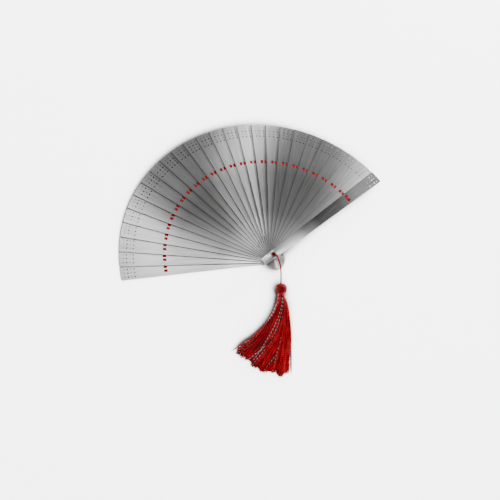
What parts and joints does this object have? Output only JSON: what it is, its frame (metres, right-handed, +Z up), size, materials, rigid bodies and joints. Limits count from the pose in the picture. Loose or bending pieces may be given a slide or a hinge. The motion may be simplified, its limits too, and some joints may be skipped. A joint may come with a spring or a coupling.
{
  "type": "folding fan",
  "caption": "Open folding fan of thin brushed steel blades with punched rims, a flat red ribbon woven through slots, and a long red tassel on a cord from the hollow pivot rivet.",
  "frame": {"origin": "on the pivot's axis, at the underside of the rivet's closed head, which is the surface that the open fan lies on", "axes": "+Z up along the pivot from the back guard to the front guard, +Y along the middle of the spread, +X towards the front guard"},
  "size_m": [0.3722, 0.3325, 0.0215],
  "materials": {
    "blade_steel": "brushed along the blade",
    "guard_steel": "brushed along the blade, a little smoother",
    "rivet_steel": "turned and rolled, bright",
    "ribbon": "flat satin ribbon",
    "cord": "twisted silky cord",
    "tassel_thread": "glossy twisted rayon with a few metallic threads"
  },
  "bodies": {
    "back_guard": {"back_guard": "guard_steel", "pivot_rivet": "rivet_steel", "ribbon_00": "ribbon"},
    "blade_01": {"blade_01": "blade_steel", "ribbon_01": "ribbon"},
    "blade_02": {"blade_02": "blade_steel", "ribbon_02": "ribbon"},
    "blade_03": {"blade_03": "blade_steel", "ribbon_03": "ribbon"},
    "blade_04": {"blade_04": "blade_steel", "ribbon_04": "ribbon"},
    "blade_05": {"blade_05": "blade_steel", "ribbon_05": "ribbon"},
    "blade_06": {"blade_06": "blade_steel", "ribbon_06": "ribbon"},
    "blade_07": {"blade_07": "blade_steel", "ribbon_07": "ribbon"},
    "blade_08": {"blade_08": "blade_steel", "ribbon_08": "ribbon"},
    "blade_09": {"blade_09": "blade_steel", "ribbon_09": "ribbon"},
    "blade_10": {"blade_10": "blade_steel", "ribbon_10": "ribbon"},
    "blade_11": {"blade_11": "blade_steel", "ribbon_11": "ribbon"},
    "blade_12": {"blade_12": "blade_steel", "ribbon_12": "ribbon"},
    "blade_13": {"blade_13": "blade_steel", "ribbon_13": "ribbon"},
    "blade_14": {"blade_14": "blade_steel", "ribbon_14": "ribbon"},
    "blade_15": {"blade_15": "blade_steel", "ribbon_15": "ribbon"},
    "blade_16": {"blade_16": "blade_steel", "ribbon_16": "ribbon"},
    "blade_17": {"blade_17": "blade_steel", "ribbon_17": "ribbon"},
    "blade_18": {"blade_18": "blade_steel", "ribbon_18": "ribbon"},
    "blade_19": {"blade_19": "blade_steel", "ribbon_19": "ribbon"},
    "blade_20": {"blade_20": "blade_steel", "ribbon_20": "ribbon"},
    "blade_21": {"blade_21": "blade_steel", "ribbon_21": "ribbon"},
    "blade_22": {"blade_22": "blade_steel", "ribbon_22": "ribbon"},
    "blade_23": {"blade_23": "blade_steel", "ribbon_23": "ribbon"},
    "blade_24": {"blade_24": "blade_steel", "ribbon_24": "ribbon"},
    "front_guard": {"front_guard": "guard_steel", "ribbon_end": "ribbon"},
    "tassel": {"cord_knot": "cord", "tassel_cord": "cord", "tassel_head": "tassel_thread", "tassel_neck": "tassel_thread", "tassel_skirt": "tassel_thread"}
  },
  "joints": [
    {"name": "fan_fold", "type": "hinge", "parent": "back_guard", "child": "front_guard", "pos_m": [0, 0, 0], "axis": [0, 0, 1], "range_deg": [0, 149.4], "deforming": ["ribbon_24"]},
    {"name": "blade_01_fold", "type": "hinge", "parent": "back_guard", "child": "blade_01", "pos_m": [0, 0, 0], "axis": [0, 0, 1], "range_deg": [0, 6], "deforming": ["ribbon_00"]},
    {"name": "blade_02_fold", "type": "hinge", "parent": "back_guard", "child": "blade_02", "pos_m": [0, 0, 0], "axis": [0, 0, 1], "range_deg": [0, 12], "deforming": ["ribbon_01"]},
    {"name": "blade_03_fold", "type": "hinge", "parent": "back_guard", "child": "blade_03", "pos_m": [0, 0, 0], "axis": [0, 0, 1], "range_deg": [0, 18], "deforming": ["ribbon_02"]},
    {"name": "blade_04_fold", "type": "hinge", "parent": "back_guard", "child": "blade_04", "pos_m": [0, 0, 0], "axis": [0, 0, 1], "range_deg": [0, 24], "deforming": ["ribbon_03"]},
    {"name": "blade_05_fold", "type": "hinge", "parent": "back_guard", "child": "blade_05", "pos_m": [0, 0, 0], "axis": [0, 0, 1], "range_deg": [0, 30], "deforming": ["ribbon_04"]},
    {"name": "blade_06_fold", "type": "hinge", "parent": "back_guard", "child": "blade_06", "pos_m": [0, 0, 0], "axis": [0, 0, 1], "range_deg": [0, 36], "deforming": ["ribbon_05"]},
    {"name": "blade_07_fold", "type": "hinge", "parent": "back_guard", "child": "blade_07", "pos_m": [0, 0, 0], "axis": [0, 0, 1], "range_deg": [0, 42], "deforming": ["ribbon_06"]},
    {"name": "blade_08_fold", "type": "hinge", "parent": "back_guard", "child": "blade_08", "pos_m": [0, 0, 0], "axis": [0, 0, 1], "range_deg": [0, 48], "deforming": ["ribbon_07"]},
    {"name": "blade_09_fold", "type": "hinge", "parent": "back_guard", "child": "blade_09", "pos_m": [0, 0, 0], "axis": [0, 0, 1], "range_deg": [0, 54], "deforming": ["ribbon_08"]},
    {"name": "blade_10_fold", "type": "hinge", "parent": "back_guard", "child": "blade_10", "pos_m": [0, 0, 0], "axis": [0, 0, 1], "range_deg": [0, 60], "deforming": ["ribbon_09"]},
    {"name": "blade_11_fold", "type": "hinge", "parent": "back_guard", "child": "blade_11", "pos_m": [0, 0, 0], "axis": [0, 0, 1], "range_deg": [0, 66], "deforming": ["ribbon_10"]},
    {"name": "blade_12_fold", "type": "hinge", "parent": "back_guard", "child": "blade_12", "pos_m": [0, 0, 0], "axis": [0, 0, 1], "range_deg": [0, 72], "deforming": ["ribbon_11"]},
    {"name": "blade_13_fold", "type": "hinge", "parent": "back_guard", "child": "blade_13", "pos_m": [0, 0, 0], "axis": [0, 0, 1], "range_deg": [0, 78], "deforming": ["ribbon_12"]},
    {"name": "blade_14_fold", "type": "hinge", "parent": "back_guard", "child": "blade_14", "pos_m": [0, 0, 0], "axis": [0, 0, 1], "range_deg": [0, 84], "deforming": ["ribbon_13"]},
    {"name": "blade_15_fold", "type": "hinge", "parent": "back_guard", "child": "blade_15", "pos_m": [0, 0, 0], "axis": [0, 0, 1], "range_deg": [0, 90], "deforming": ["ribbon_14"]},
    {"name": "blade_16_fold", "type": "hinge", "parent": "back_guard", "child": "blade_16", "pos_m": [0, 0, 0], "axis": [0, 0, 1], "range_deg": [0, 96], "deforming": ["ribbon_15"]},
    {"name": "blade_17_fold", "type": "hinge", "parent": "back_guard", "child": "blade_17", "pos_m": [0, 0, 0], "axis": [0, 0, 1], "range_deg": [0, 102], "deforming": ["ribbon_16"]},
    {"name": "blade_18_fold", "type": "hinge", "parent": "back_guard", "child": "blade_18", "pos_m": [0, 0, 0], "axis": [0, 0, 1], "range_deg": [0, 108], "deforming": ["ribbon_17"]},
    {"name": "blade_19_fold", "type": "hinge", "parent": "back_guard", "child": "blade_19", "pos_m": [0, 0, 0], "axis": [0, 0, 1], "range_deg": [0, 114], "deforming": ["ribbon_18"]},
    {"name": "blade_20_fold", "type": "hinge", "parent": "back_guard", "child": "blade_20", "pos_m": [0, 0, 0], "axis": [0, 0, 1], "range_deg": [0, 120], "deforming": ["ribbon_19"]},
    {"name": "blade_21_fold", "type": "hinge", "parent": "back_guard", "child": "blade_21", "pos_m": [0, 0, 0], "axis": [0, 0, 1], "range_deg": [0, 126], "deforming": ["ribbon_20"]},
    {"name": "blade_22_fold", "type": "hinge", "parent": "back_guard", "child": "blade_22", "pos_m": [0, 0, 0], "axis": [0, 0, 1], "range_deg": [0, 132], "deforming": ["ribbon_21"]},
    {"name": "blade_23_fold", "type": "hinge", "parent": "back_guard", "child": "blade_23", "pos_m": [0, 0, 0], "axis": [0, 0, 1], "range_deg": [0, 138], "deforming": ["ribbon_22"]},
    {"name": "blade_24_fold", "type": "hinge", "parent": "back_guard", "child": "blade_24", "pos_m": [0, 0, 0], "axis": [0, 0, 1], "range_deg": [0, 144], "deforming": ["ribbon_23"]},
    {"name": "tassel_swing", "type": "hinge", "parent": "back_guard", "child": "tassel", "pos_m": [0, 0, 0], "axis": [0, 0, 1], "range_deg": [-35, 35]}
  ],
  "couplings": [
    {"joint": "blade_01_fold", "follows": "fan_fold", "ratio": 0.040161},
    {"joint": "blade_02_fold", "follows": "fan_fold", "ratio": 0.080321},
    {"joint": "blade_03_fold", "follows": "fan_fold", "ratio": 0.12048},
    {"joint": "blade_04_fold", "follows": "fan_fold", "ratio": 0.16064},
    {"joint": "blade_05_fold", "follows": "fan_fold", "ratio": 0.2008},
    {"joint": "blade_06_fold", "follows": "fan_fold", "ratio": 0.24096},
    {"joint": "blade_07_fold", "follows": "fan_fold", "ratio": 0.28112},
    {"joint": "blade_08_fold", "follows": "fan_fold", "ratio": 0.32129},
    {"joint": "blade_09_fold", "follows": "fan_fold", "ratio": 0.36145},
    {"joint": "blade_10_fold", "follows": "fan_fold", "ratio": 0.40161},
    {"joint": "blade_11_fold", "follows": "fan_fold", "ratio": 0.44177},
    {"joint": "blade_12_fold", "follows": "fan_fold", "ratio": 0.48193},
    {"joint": "blade_13_fold", "follows": "fan_fold", "ratio": 0.52209},
    {"joint": "blade_14_fold", "follows": "fan_fold", "ratio": 0.56225},
    {"joint": "blade_15_fold", "follows": "fan_fold", "ratio": 0.60241},
    {"joint": "blade_16_fold", "follows": "fan_fold", "ratio": 0.64257},
    {"joint": "blade_17_fold", "follows": "fan_fold", "ratio": 0.68273},
    {"joint": "blade_18_fold", "follows": "fan_fold", "ratio": 0.72289},
    {"joint": "blade_19_fold", "follows": "fan_fold", "ratio": 0.76305},
    {"joint": "blade_20_fold", "follows": "fan_fold", "ratio": 0.80321},
    {"joint": "blade_21_fold", "follows": "fan_fold", "ratio": 0.84337},
    {"joint": "blade_22_fold", "follows": "fan_fold", "ratio": 0.88353},
    {"joint": "blade_23_fold", "follows": "fan_fold", "ratio": 0.92369},
    {"joint": "blade_24_fold", "follows": "fan_fold", "ratio": 0.96386}
  ]
}
